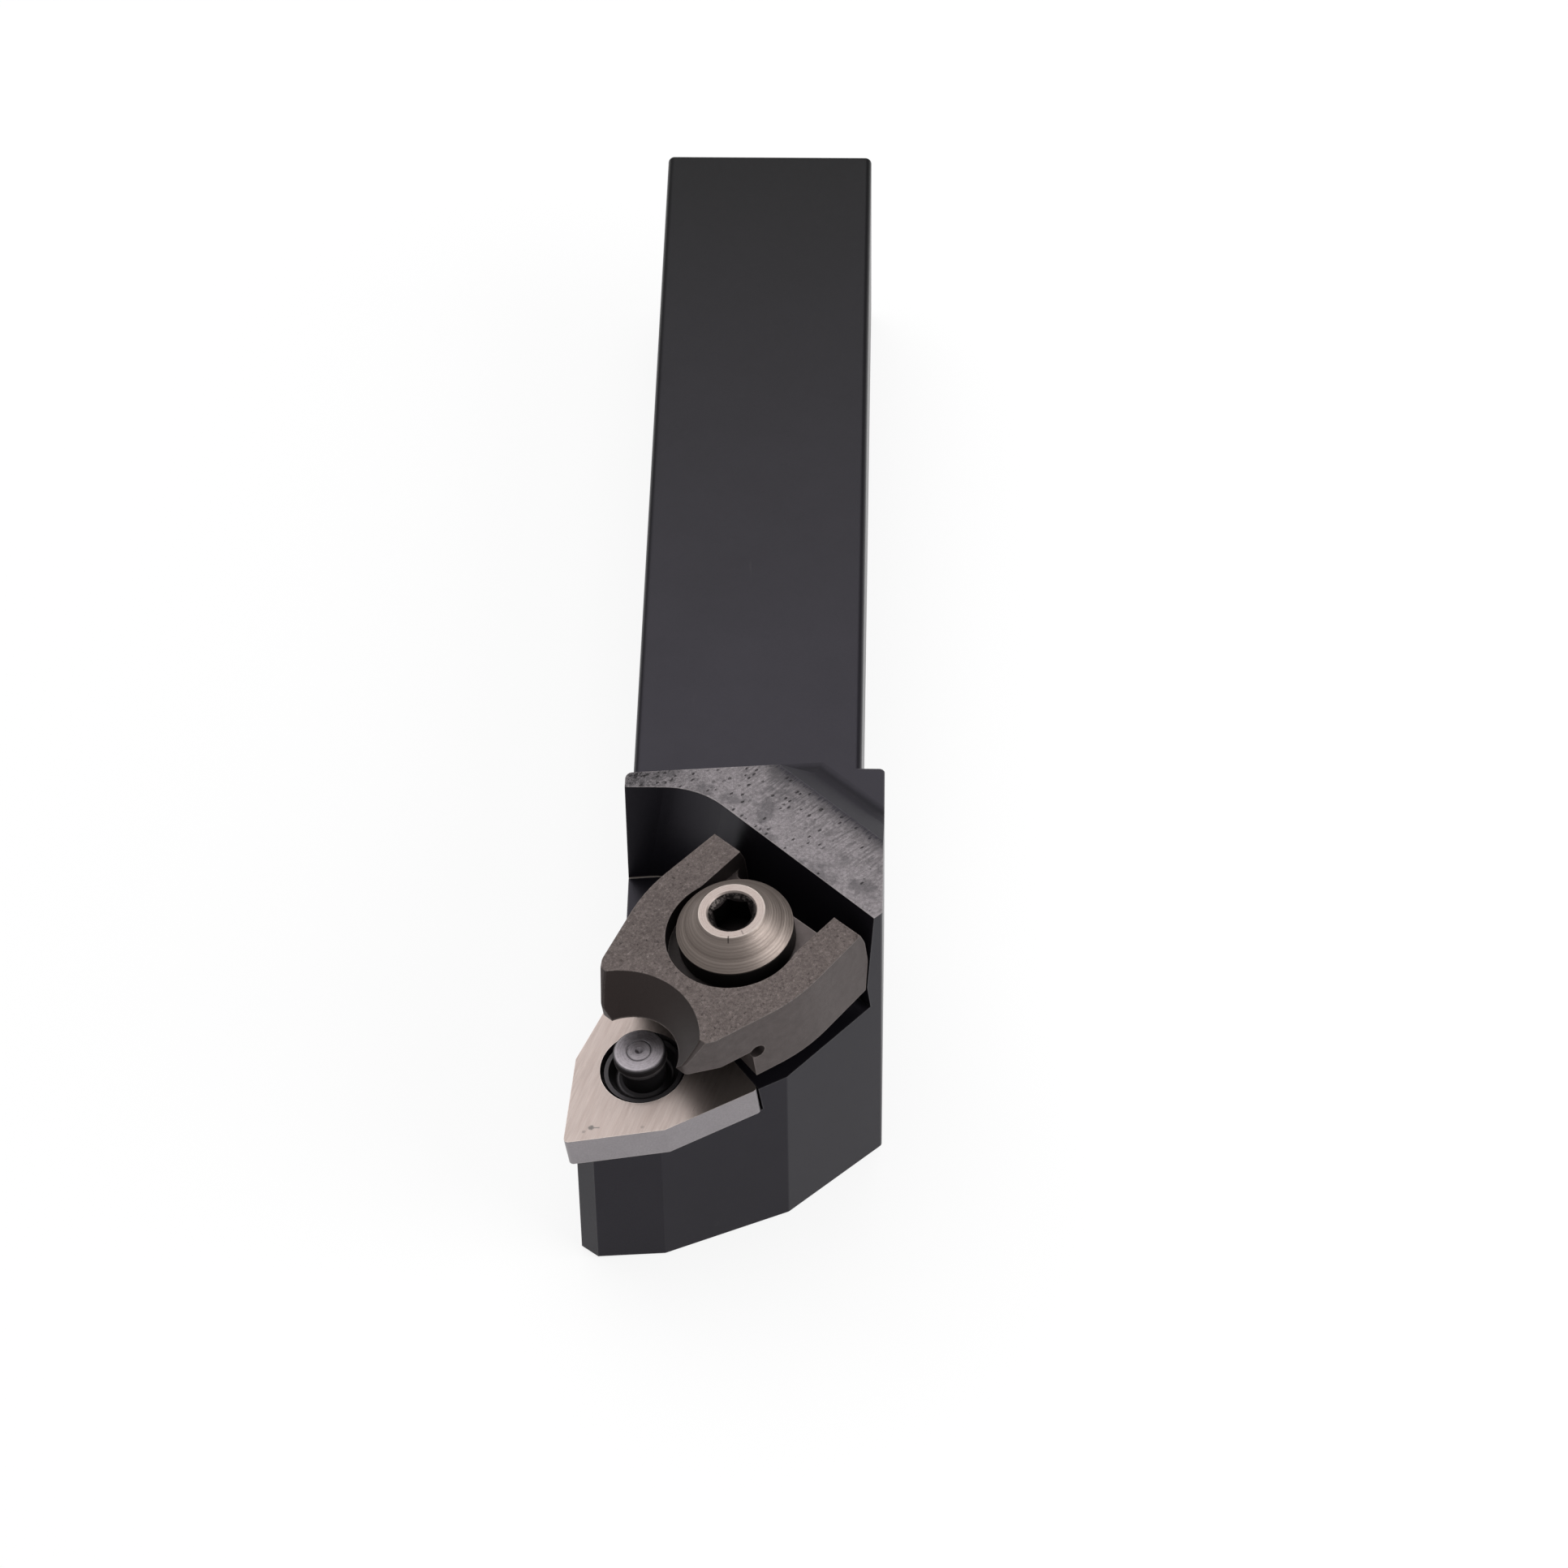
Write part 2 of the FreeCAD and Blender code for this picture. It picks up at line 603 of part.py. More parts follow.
# The screw's head sinks into a counterbore that is open to the rear between the arms.
counterbore = new_sketch(clamp, "counterbore_plan", flat, "[web_top]")
counterbore = draw_circle(counterbore, "-[counterbore_back]", "0", "[counterbore_radius]")
pocket(clamp, "counterbore", counterbore, "[clamp_top] - [web_top]")

rear_opening = draw_outline(new_sketch(clamp, "rear_opening", flat, "[web_top]"), [
    ("-[counterbore_back]", "-[slot_half]"),
    ("-[counterbore_back]", "[slot_half]"),
    ("-[wall_foot] - 4", "[slot_half]"),
    ("-[wall_foot] - 4", "-[slot_half]"),
])
pocket(clamp, "rear_opening_cut", rear_opening, "[clamp_top] - [web_top]")

arm_gap = draw_outline(new_sketch(clamp, "between_arms", flat, "[clamp_bottom]"), [
    ("-[web_back]", "-[slot_half]", "0.8"),
    ("-[web_back]", "[slot_half]", "0.8"),
    ("-[wall_foot] - 4", "[slot_half]"),
    ("-[wall_foot] - 4", "-[slot_half]"),
])
pocket(clamp, "between_arms_cut", arm_gap)

# The slot for the screw is long enough for the clamp's run along the wedge wall.
SLOT_HALF = "([screw_radius] + [screw_slot_gap])"
SLOT_FRONT = "(-[screw_back] + [travel_up] * tan([wall_angle]))"
SLOT_BACK = "(-[screw_back] - [travel_down] * tan([wall_angle]))"


def slot_outline(name, height, half):
    """A slot with round ends, of one half width, as long as the clamp's run needs."""
    return draw_outline(new_sketch(clamp, name, flat, height), [
        ("%s + %s" % (SLOT_FRONT, half), "-%s" % half, half + " - 0.05"),
        ("%s + %s" % (SLOT_FRONT, half), half, half + " - 0.05"),
        ("%s - %s" % (SLOT_BACK, half), half, half + " - 0.05"),
        ("%s - %s" % (SLOT_BACK, half), "-%s" % half, half + " - 0.05"),
    ])


pocket(clamp, "screw_slot_cut", slot_outline("screw_slot", "[clamp_bottom]", SLOT_HALF))
RING_HALF = "([ring_radius] + [screw_slot_gap])"
pocket(clamp, "ring_recess", slot_outline("ring_slot", "[clamp_bottom]", RING_HALF),
       "[ring_top] + [ring_gap] - [clamp_bottom]")
clamp.setExpression("Placement", "%s * %s" % (
    seat_placement("-[screw_back]", "[clamp_side]", "[clamp_turn]"),
    size("placement(vector([screw_back]; 0; 0); rotation(0; 0; 0))")))

# Clamp screw
# A turned screw with a cone on its head, a socket for a six-sided key and a groove for the ring.
screw = new_body("clamp_screw")
HEAD_UNDER = "([web_top] + [head_gap])"
RING_LOW = "([ring_top] - [ring_thickness])"
screw_profile = draw_outline(new_sketch(screw, "screw_profile", base_plane(screw, "XZ_Plane")), [
    ("0", "[head_top]"),
    ("[head_top_radius]", "[head_top]"),
    ("[head_radius]", "[head_shoulder]"),
    ("[head_radius]", HEAD_UNDER),
    ("[screw_radius]", HEAD_UNDER),
    ("[screw_radius]", "[ring_top] + [ring_gap]"),
    ("[groove_radius]", "[ring_top] + [ring_gap]"),
    ("[groove_radius]", "%s - [ring_gap]" % RING_LOW),
    ("[screw_radius]", "%s - [ring_gap]" % RING_LOW),
    ("[screw_radius]", "-[screw_depth] + 0.6"),
    ("[screw_radius] - 0.6", "-[screw_depth]"),
    ("0", "-[screw_depth]"),
])
turned(screw, "turned_screw", screw_profile)

CORNER = "[socket_width] / 2 / cos(30)"
socket_plan = draw_outline(
    new_sketch(screw, "socket_plan", base_plane(screw, "XY_Plane"), "[head_top] - [socket_depth]"),
    [("%s * cos(%d)" % (CORNER, angle), "%s * sin(%d)" % (CORNER, angle)) for angle in range(0, 360, 60)])
pocket(screw, "socket", socket_plan, "[socket_depth]")
socket_mouth = draw_outline(new_sketch(screw, "socket_mouth_profile", base_plane(screw, "XZ_Plane")), [
    ("0", "[head_top] + 0.1"),
    ("[socket_mouth_radius] + 0.1", "[head_top] + 0.1"),
    ("0", "[head_top] - [socket_mouth_radius]"),
])
turned(screw, "socket_mouth", socket_mouth, cut=True)
screw.setExpression("Placement", seat_placement("-[screw_back]", "[screw_side]"))

# Retaining ring
# An open wire ring that sits in the screw's groove under the clamp's web.
ring = new_body("retaining_ring")
ring_plan = draw_circle(new_sketch(ring, "ring_plan", base_plane(ring, "XY_Plane"), RING_LOW), "0", "0",
                        "[ring_radius]")
pad(ring, "ring_disc", ring_plan, "[ring_thickness]")
ring_bore = draw_circle(new_sketch(ring, "ring_bore", base_plane(ring, "XY_Plane"), RING_LOW), "0", "0",
                        "[groove_radius] + [screw_fit]")
pocket(ring, "ring_bore_cut", ring_bore, "[ring_thickness]")
ring_mouth = draw_outline(new_sketch(ring, "ring_mouth", base_plane(ring, "XY_Plane"), RING_LOW), [
    ("-[ring_radius] - 1", "-[ring_mouth] / 2"),
    ("0", "-[ring_mouth] / 2"),
    ("0", "[ring_mouth] / 2"),
    ("-[ring_radius] - 1", "[ring_mouth] / 2"),
])
pocket(ring, "ring_mouth_cut", ring_mouth, "[ring_thickness]")
ring.setExpression("Placement", seat_placement("-[screw_back]", "[screw_side]"))

doc.recompute()

pieces = [holder, shim, pin, clamp, screw, ring]
for item in doc.Objects:
    if "Invalid" in item.State or "Error" in item.State:
        raise RuntimeError(item.Name + " has an error")
os.makedirs("parts", exist_ok=True)
for piece in pieces:
    if piece.Shape.isNull() or not piece.Shape.isValid() or len(piece.Shape.Solids) != 1:
        raise RuntimeError(piece.Label + " is not one valid solid")
for piece in pieces:
    piece.Shape.exportStep("parts/" + piece.Label + ".step")
    print(piece.Label, round(piece.Shape.Volume, 1))
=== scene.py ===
import bpy
import math
import numpy as np
from mathutils import Matrix, Vector

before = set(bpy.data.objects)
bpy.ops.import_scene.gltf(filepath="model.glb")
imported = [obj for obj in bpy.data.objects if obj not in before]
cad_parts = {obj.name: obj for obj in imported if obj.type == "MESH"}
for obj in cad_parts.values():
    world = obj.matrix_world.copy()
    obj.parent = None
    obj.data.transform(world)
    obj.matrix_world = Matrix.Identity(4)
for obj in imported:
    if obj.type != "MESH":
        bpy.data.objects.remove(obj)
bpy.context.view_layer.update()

# Holder body
# The shank and head are one bar of tool steel, milled and then blackened in a hot salt bath.
# The land behind the pocket was ground off after blackening, so it is bare, rough and pitted.


def new_material(name):
    """An empty material with its output, ready for its own nodes."""
    material = bpy.data.materials.new(name)
    material.use_nodes = True
    material.node_tree.nodes.clear()
    material.node_tree.nodes.new("ShaderNodeOutputMaterial")
    return material


def put(tree, socket, value):
    """A link where the value is another node's socket, or else the plain value."""
    if isinstance(value, bpy.types.NodeSocket):
        tree.links.new(value, socket)
    else:
        socket.default_value = value


def add(tree, kind, inputs=None, **settings):
    """One node, with settings as attributes and inputs as numbers, colours or other nodes' sockets."""
    node = tree.nodes.new(kind)
    for name, value in settings.items():
        setattr(node, name, value)
    for name, value in (inputs or {}).items():
        put(tree, node.inputs[name], value)
    return node


def calc(tree, operation, *values, clamp=False):
    """One step of arithmetic on numbers or sockets."""
    node = add(tree, "ShaderNodeMath", operation=operation, use_clamp=clamp)
    for socket, value in zip(node.inputs, values):
        put(tree, socket, value)
    return node.outputs[0]


def times(tree, first, *others):
    """Numbers or sockets multiplied together."""
    for other in others:
        first = calc(tree, "MULTIPLY", first, other)
    return first


def blend_colour(tree, share, first, second):
    """Two colours mixed by a share from 0 to 1."""
    node = add(tree, "ShaderNodeMix", data_type="RGBA")
    for socket, value in zip((node.inputs[0], node.inputs[6], node.inputs[7]), (share, first, second)):
        put(tree, socket, value)
    return node.outputs[2]


def ramp(tree, value, low, high, out_low=0.0, out_high=1.0):
    """A value carried from one range to another and held at its ends."""
    node = add(tree, "ShaderNodeMapRange", {"Value": value, "From Min": low, "From Max": high,
                                            "To Min": out_low, "To Max": out_high})
    return node.outputs[0]


def band(tree, value, middle, inner, outer, strength=1.0):
    """A value's nearness to a middle: the full strength within inner of it, and nothing past outer."""
    away = calc(tree, "ABSOLUTE", calc(tree, "SUBTRACT", value, middle))
    return ramp(tree, away, inner, outer, strength, 0.0)


def noise(tree, coords, scale, detail, roughness, stretch=None):
    """Cloudy noise, drawn out along an axis where stretch gives three scales."""
    if stretch is not None:
        coords = add(tree, "ShaderNodeMapping", {"Vector": coords, "Scale": stretch}).outputs[0]
    return add(tree, "ShaderNodeTexNoise", {"Vector": coords, "Scale": scale, "Detail": detail,
                                            "Roughness": roughness}).outputs[0]


def coordinates(tree, origin=(0, 0, 0), turn=None):
    """Object coordinates in millimetres, in a frame with its own origin (mm) and axes (rows)."""
    coords = add(tree, "ShaderNodeTexCoord").outputs["Object"]
    rows = np.eye(3) if turn is None else np.asarray(turn)
    start = -rows @ np.asarray(origin, float)
    euler = Matrix(rows.tolist()).to_euler("XYZ")
    return add(tree, "ShaderNodeMapping", {"Vector": coords, "Location": start.tolist(),
                                           "Rotation": euler, "Scale": (1000, 1000, 1000)}).outputs[0]


def parts(tree, coords):
    """The three numbers of a vector."""
    return add(tree, "ShaderNodeSeparateXYZ", {"Vector": coords}).outputs


def show(tree, shader):
    """The shader joined to the material's output."""
    output = next(node for node in tree.nodes if node.type == "OUTPUT_MATERIAL")
    tree.links.new(shader.outputs[0], output.inputs["Surface"])


def steel(tree, colour, rough, bump_height, bump_size, metal, extra=None):
    """A metal surface whose relief is bump_height, a socket, times bump_size in millimetres."""
    bump = add(tree, "ShaderNodeBump", {"Height": bump_height, "Distance": bump_size / 1000, "Strength": 1.0})
    inputs = {"Base Color": colour, "Roughness": rough, "Normal": bump.outputs[0], "Metallic": metal}
    inputs.update(extra or {})
    show(tree, add(tree, "ShaderNodeBsdfPrincipled", inputs))


def give(node_name, material):
    """The material on every slot of a CAD node."""
    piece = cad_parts[node_name]
    if not piece.data.materials:
        piece.data.materials.append(material)
    for slot in piece.material_slots:
        slot.material = material


def edge_highlight_and_wear(tree, radius):
    """How near a sharp edge the surface is, from 0 to 1, within a radius in millimetres, for painting edges
    lighter: partly wear, partly painted highlight.
    """
    rounded = add(tree, "ShaderNodeBevel", {"Radius": radius / 1000}, samples=6).outputs[0]
    straight = add(tree, "ShaderNodeNewGeometry").outputs["Normal"]
    product = add(tree, "ShaderNodeVectorMath", {0: rounded, 1: straight}, operation="DOT_PRODUCT")
    return ramp(tree, product.outputs["Value"], 0.985, 0.85)


SHANK_TOP = 20.0
LAND_TOP = 29.4
LAND_BEND_Y = -48.3

black = new_material("blackened steel")
tree = black.node_tree
place = coordinates(tree)
x, y, z = parts(tree, place)
cloud = noise(tree, place, 0.12, 5.0, 0.6)
grain = noise(tree, place, 9.0, 6.0, 0.65)
scuff = noise(tree, place, 0.9, 6.0, 0.7, stretch=(1.0, 0.12, 1.0))
edges = edge_highlight_and_wear(tree, 0.25)
oxide = blend_colour(tree, ramp(tree, cloud, 0.3, 0.75), (0.0138, 0.0122, 0.0168, 1),
                     (0.0168, 0.015, 0.0203, 1))
oxide = blend_colour(tree, ramp(tree, scuff, 0.66, 0.8, 0.0, 0.25), oxide, (0.06, 0.058, 0.06, 1))
# the edges are painted lighter: partly rubbed bare, partly a painted highlight
worn_and_lit_edges = times(tree, edges, ramp(tree, grain, 0.35, 0.65, 0.1, 0.55))
oxide = blend_colour(tree, worn_and_lit_edges, oxide, (0.12, 0.115, 0.12, 1))

# painted shade: the shank's colour gets darker and darker towards its far end
far_end_shade = ramp(tree, y, -35.0, 44.0)
oxide = blend_colour(tree, times(tree, far_end_shade, 0.95), oxide, (0.0032, 0.003, 0.0034, 1))

# the bare land has a frame of its own: out over the diagonal flank, along that flank's upper edge, and up
HALF = math.sqrt(0.5)
land_place = coordinates(tree, (0, LAND_BEND_Y, LAND_TOP), ((HALF, HALF, 0), (-HALF, HALF, 0), (0, 0, 1)))
outward, _, depth = parts(tree, land_place)
streaks = noise(tree, land_place, 1.0, 5.0, 0.65, stretch=(0.55, 4.5, 1.0))
ragged = calc(tree, "MULTIPLY_ADD", streaks, 3.0, -1.1)
ground_off = times(tree, ramp(tree, calc(tree, "ADD", outward, ragged), 0.35, -1.1),
                   ramp(tree, depth, -0.07, -0.02))
speck = noise(tree, place, 4.2, 6.0, 0.85)
patches = noise(tree, place, 0.33, 4.0, 0.6)
left_end = ramp(tree, x, -2.0, -9.0)
near_edge = ramp(tree, outward, -5.0, -1.5, 0.15, 1.0)
pit_place = add(tree, "ShaderNodeMapping", {"Vector": land_place, "Scale": (1.7, 3.0, 1.0)}).outputs[0]
pit_cells = add(tree, "ShaderNodeTexVoronoi", {"Vector": pit_place, "Scale": 1.0, "Randomness": 1.0}).outputs
pit_edge = calc(tree, "MULTIPLY_ADD", speck, 0.55, -0.27)
pit_size = calc(tree, "ADD", pit_cells["Distance"], pit_edge)
chance = calc(tree, "ADD", parts(tree, pit_cells["Color"])[0], times(tree, left_end, 0.6))
pit = times(tree, ramp(tree, pit_size, 0.36, 0.24), ramp(tree, chance, 0.8, 0.9))
bare = blend_colour(tree, ramp(tree, speck, 0.36, 0.66), (0.15, 0.136, 0.142, 1), (0.385, 0.352, 0.366, 1))
streaked = times(tree, ramp(tree, streaks, 0.4, 0.58, 0.7, 0.0), near_edge)
bare = blend_colour(tree, streaked, bare, (0.07, 0.064, 0.067, 1))
bare = blend_colour(tree, ramp(tree, patches, 0.52, 0.62, 0.0, 0.55), bare, (0.075, 0.07, 0.075, 1))
rough_end = times(tree, left_end, ramp(tree, speck, 0.44, 0.6, 0.95, 0.3))
bare = blend_colour(tree, rough_end, bare, (0.045, 0.042, 0.045, 1))
bare = blend_colour(tree, times(tree, pit, 0.8), bare, (0.016, 0.014, 0.015, 1))
# a painted highlight along the land's edges
bare = blend_colour(tree, times(tree, edges, 0.5), bare, (0.4, 0.37, 0.37, 1))
colour = blend_colour(tree, ground_off, oxide, bare)

# the two flanks that slope down from the land were left as milled, duller than the rest
facing = parts(tree, add(tree, "ShaderNodeTexCoord").outputs["Normal"])
flank = times(tree, ramp(tree, facing[1], 0.1, 0.45), ramp(tree, z, SHANK_TOP + 0.1, SHANK_TOP + 0.4))

# the insert's seat is tipped towards the cutting corner: x runs out to the corner, z up from the shim's top
SEAT_RAKE = math.radians(8.46)
SEAT_LEAD = math.radians(45)
CUTTING_CORNER = np.array([-15.0, -82.5, SHANK_TOP])
INSERT_CIRCLE = 12.7
INSERT_THICKNESS = 4.76
CORNER_ANGLE = math.radians(80)
seat_x = np.array([-math.cos(SEAT_LEAD) * math.cos(SEAT_RAKE), -math.sin(SEAT_LEAD) * math.cos(SEAT_RAKE),
                   -math.sin(SEAT_RAKE)])
seat_y = np.array([math.sin(SEAT_LEAD), -math.cos(SEAT_LEAD), 0.0])
seat_z = np.cross(seat_x, seat_y)
corner_reach = INSERT_CIRCLE / 2 / math.sin(CORNER_ANGLE / 2)
seat_origin = CUTTING_CORNER - corner_reach * seat_x - INSERT_THICKNESS * seat_z
seat_turn = np.array([seat_x, seat_y, seat_z])

# a thin painted highlight where the pocket's left wall meets its floor
LEFT_WALL_Y = -54.2
POCKET_FLOOR = -0.5
seat_height = parts(tree, coordinates(tree, seat_origin, seat_turn))[2]
wall_foot_highlight = times(tree, band(tree, y, LEFT_WALL_Y - 0.02, 0.06, 0.12),
                  band(tree, seat_height, POCKET_FLOOR, 0.05, 0.1), ramp(tree, x, -4.0, -5.5), 0.9)
colour = blend_colour(tree, wall_foot_highlight, colour, (0.42, 0.385, 0.36, 1))

rough = calc(tree, "ADD", ramp(tree, grain, 0.3, 0.7, 0.28, 0.36), times(tree, ground_off, 0.22))
rough = calc(tree, "ADD", rough, times(tree, flank, 0.45))
metal = calc(tree, "MULTIPLY_ADD", flank, -0.4, 0.6)
land_height = calc(tree, "SUBTRACT", times(tree, speck, 0.9), times(tree, pit, 1.1))
height = calc(tree, "ADD", times(tree, grain, 0.1), times(tree, ground_off, land_height))
steel(tree, colour, rough, height, 0.11, metal, extra={"Specular IOR Level": 0.25})
give("holder_body", black)

# Shim
# A hard carbide plate that carries the insert, pinned to the pocket's floor.
# It was pressed and sintered, and its top was then ground flat.


def scratch(tree, first, second, start, end, half_width, strength):
    """A straight line from start to end (mm) in the plane of two coordinates, from 0 to its strength."""
    length = math.dist(start, end)
    run = [(end[i] - start[i]) / length for i in range(2)]
    first = calc(tree, "SUBTRACT", first, start[0])
    second = calc(tree, "SUBTRACT", second, start[1])
    along = calc(tree, "ADD", times(tree, first, run[0]), times(tree, second, run[1]))
    across = calc(tree, "SUBTRACT", times(tree, first, run[1]), times(tree, second, run[0]))
    side = band(tree, across, 0.0, half_width - 0.02, half_width + 0.03, strength)
    return times(tree, side, ramp(tree, along, 0.0, 0.08), ramp(tree, along, length, length - 0.08))


def long_side(tree, first, second):
    """The distance that two numbers or sockets, square to each other, make together."""
    return calc(tree, "SQRT", calc(tree, "ADD", times(tree, first, first), times(tree, second, second)))


ground = new_material("ground carbide")
tree = ground.node_tree
place = coordinates(tree, seat_origin, seat_turn)
x, y, z = parts(tree, place)
on_top = ramp(tree, z, -0.06, -0.02)
# the grinding lines lean a little to the right of the tool's length
GRIND = math.radians(-20)
grind_turn = ((math.cos(GRIND), math.sin(GRIND), 0), (-math.sin(GRIND), math.cos(GRIND), 0), (0, 0, 1))
grind_place = coordinates(tree, turn=grind_turn)
lines = noise(tree, grind_place, 1.0, 6.0, 0.6, stretch=(3.2, 0.16, 1.0))
lines_fine = noise(tree, grind_place, 1.0, 5.0, 0.65, stretch=(11.0, 0.5, 1.0))
cloud = noise(tree, place, 0.35, 4.0, 0.6)
marks = noise(tree, place, 1.3, 5.0, 0.72)
edges = edge_highlight_and_wear(tree, 0.12)
top = blend_colour(tree, ramp(tree, lines, 0.3, 0.7), (0.21, 0.17, 0.155, 1), (0.262, 0.222, 0.205, 1))
top = blend_colour(tree, ramp(tree, lines_fine, 0.4, 0.7, 0.0, 0.4), top, (0.205, 0.17, 0.156, 1))
top = blend_colour(tree, ramp(tree, cloud, 0.4, 0.75, 0.0, 0.3), top, (0.215, 0.182, 0.17, 1))
top = blend_colour(tree, ramp(tree, marks, 0.72, 0.76, 0.0, 0.75), top, (0.09, 0.075, 0.07, 1))
# a pit with a scratch beside it, and two specks, near the front edges
PITS = ((7.12, 0.64, 0.23, 0.85), (7.8, 0.48, 0.12, 0.55), (4.2, 3.85, 0.13, 0.4))
for pit_x, pit_y, radius, strength in PITS:
    away = long_side(tree, calc(tree, "SUBTRACT", x, pit_x), calc(tree, "SUBTRACT", y, pit_y))
    wobble = calc(tree, "MULTIPLY_ADD", noise(tree, place, 5.0, 3.0, 0.7), 0.3, -0.15)
    spot = ramp(tree, calc(tree, "ADD", away, wobble), radius - 0.06, radius + 0.06, strength, 0.0)
    top = blend_colour(tree, spot, top, (0.07, 0.065, 0.062, 1))
line = scratch(tree, x, y, (7.05, 0.72), (6.6, 1.22), 0.05, 0.8)
top = blend_colour(tree, line, top, (0.09, 0.083, 0.08, 1))
# the sides as they came from the furnace
grit = noise(tree, place, 6.0, 5.0, 0.65)
side = blend_colour(tree, ramp(tree, grit, 0.3, 0.7), (0.23, 0.212, 0.222, 1), (0.28, 0.26, 0.272, 1))
side = blend_colour(tree, ramp(tree, cloud, 0.45, 0.7, 0.0, 0.35), side, (0.2, 0.187, 0.195, 1))
colour = blend_colour(tree, on_top, side, top)
# a painted highlight along the shim's edges
colour = blend_colour(tree, times(tree, edges, 0.35), colour, (0.55, 0.5, 0.48, 1))
rough = ramp(tree, lines_fine, 0.3, 0.7, 0.27, 0.38)
height = calc(tree, "ADD", times(tree, lines, on_top, 0.5), times(tree, lines_fine, 0.3))
steel(tree, colour, rough, height, 0.012, metal=0.85)
give("shim", ground)

# Shim pin
# A small turned pin that holds the shim down and stands up in the insert's hole.
# Its top shows the rings that the lathe left, round a centre dimple.
PIN_SIDE = -0.55
PIN_TOP = 2.43
PIN_RADIUS = 2.25
MARK_RADIUS = 1.02
COLLAR_HEIGHT = 1.35
pin_origin = seat_origin + PIN_SIDE * seat_y


def radius_in(tree, coords):
    """The distance from the frame's own axis, in millimetres."""
    first, second, _ = parts(tree, coords)
    return long_side(tree, first, second)


def rings(tree, distance, pitch, wobble, amount):
    """Turned rings, one to each pitch of distance, from 0 to 1, blurred by a little noise."""
    moved = calc(tree, "ADD", distance, times(tree, wobble, amount))
    wave = calc(tree, "SINE", times(tree, moved, 2 * math.pi / pitch))
    return calc(tree, "MULTIPLY_ADD", wave, 0.5, 0.5)


turned = new_material("turned pin steel")
tree = turned.node_tree
place = coordinates(tree, pin_origin, seat_turn)
z = parts(tree, place)[2]
distance = radius_in(tree, place)
speckle = noise(tree, place, 3.5, 5.0, 0.7)
ring = times(tree, rings(tree, distance, 0.22, speckle, 0.25), ramp(tree, distance, 0.1, 0.6))
mark = calc(tree, "ABSOLUTE", calc(tree, "SUBTRACT", distance, MARK_RADIUS))
groove = ramp(tree, calc(tree, "ADD", mark, times(tree, speckle, 0.06)), 0.05, 0.12, 1.0, 0.0)
dimple = ramp(tree, distance, 0.1, 0.7, 1.0, 0.0)
on_top = calc(tree, "MAXIMUM", ramp(tree, z, PIN_TOP - 0.13, PIN_TOP - 0.01), ramp(tree, distance, 0.6, 0.5))
# a painted highlight round the outer edge of the top
rim_highlight = times(tree, ramp(tree, distance, PIN_RADIUS - 0.27, PIN_RADIUS - 0.15), on_top)
face = blend_colour(tree, ramp(tree, speckle, 0.35, 0.7), (0.23, 0.208, 0.225, 1), (0.36, 0.33, 0.352, 1))
face = blend_colour(tree, times(tree, ring, 0.25), face, (0.42, 0.39, 0.41, 1))
face = blend_colour(tree, times(tree, groove, 0.6), face, (0.05, 0.046, 0.05, 1))
face = blend_colour(tree, times(tree, dimple, 0.3), face, (0.14, 0.13, 0.14, 1))
face = blend_colour(tree, times(tree, rim_highlight, 0.4), face, (0.5, 0.47, 0.49, 1))
# the collar half way up is bright, and the neck below it is dark
collar = band(tree, z, COLLAR_HEIGHT, 0.3, 0.4)
side = blend_colour(tree, collar, (0.035, 0.032, 0.034, 1), (0.14, 0.13, 0.135, 1))
colour = blend_colour(tree, on_top, side, face)
height = times(tree, on_top, calc(tree, "SUBTRACT", times(tree, ring, 0.1), groove))
steel(tree, colour, ramp(tree, speckle, 0.3, 0.7, 0.38, 0.5), height, 0.03, metal=0.85)
give("shim_pin", turned)

# Wedge clamp
# A cast steel clamp that the screw pulls down on the insert while the wall behind pushes it forward.
# Its top keeps a grainy skin, and its sides and the hollow at its nose are smoother.
CLAMP_SIDE = 0.8
CLAMP_TURN = math.radians(1.8)
CLAMP_TOP = 9.1
NOSE_BOTTOM = 5.4
HOLLOW_REACH = (2.35, 3.84)
HOLLOW_RADIUS = (4.2, 7.5)
SLOT_HALF = 5.5
BORE_BACK = 10.85
BORE_RADIUS = 5.75
BORE_FLOOR = 7.2
SCREW_BACK = 11.3
clamp_x = math.cos(CLAMP_TURN) * seat_x + math.sin(CLAMP_TURN) * seat_y
clamp_y = -math.sin(CLAMP_TURN) * seat_x + math.cos(CLAMP_TURN) * seat_y
clamp_origin = seat_origin - SCREW_BACK * seat_x + CLAMP_SIDE * seat_y + SCREW_BACK * clamp_x
clamp_turn = np.array([clamp_x, clamp_y, seat_z])

cast = new_material("cast clamp steel")
tree = cast.node_tree
place = coordinates(tree, clamp_origin, clamp_turn)
x, y, z = parts(tree, place)
on_top = ramp(tree, z, CLAMP_TOP - 0.08, CLAMP_TOP - 0.02)
grain = noise(tree, place, 4.0, 6.0, 0.85)
coarse = noise(tree, place, 1.3, 5.0, 0.65)
fine = noise(tree, place, 16.0, 4.0, 0.7)
dents = ramp(tree, noise(tree, place, 2.2, 4.0, 0.7), 0.6, 0.66)
edges = edge_highlight_and_wear(tree, 0.22)
skin = blend_colour(tree, ramp(tree, grain, 0.36, 0.66), (0.085, 0.069, 0.065, 1), (0.25, 0.208, 0.197, 1))
skin = blend_colour(tree, ramp(tree, coarse, 0.4, 0.65, 0.35, 0.0), skin, (0.085, 0.068, 0.064, 1))
skin = blend_colour(tree, ramp(tree, grain, 0.6, 0.68, 0.0, 0.7), skin, (0.42, 0.37, 0.35, 1))
skin = blend_colour(tree, times(tree, dents, 0.6), skin, (0.03, 0.024, 0.022, 1))
smooth = blend_colour(tree, ramp(tree, coarse, 0.3, 0.7), (0.066, 0.0535, 0.0515, 1),
                      (0.087, 0.0715, 0.0695, 1))
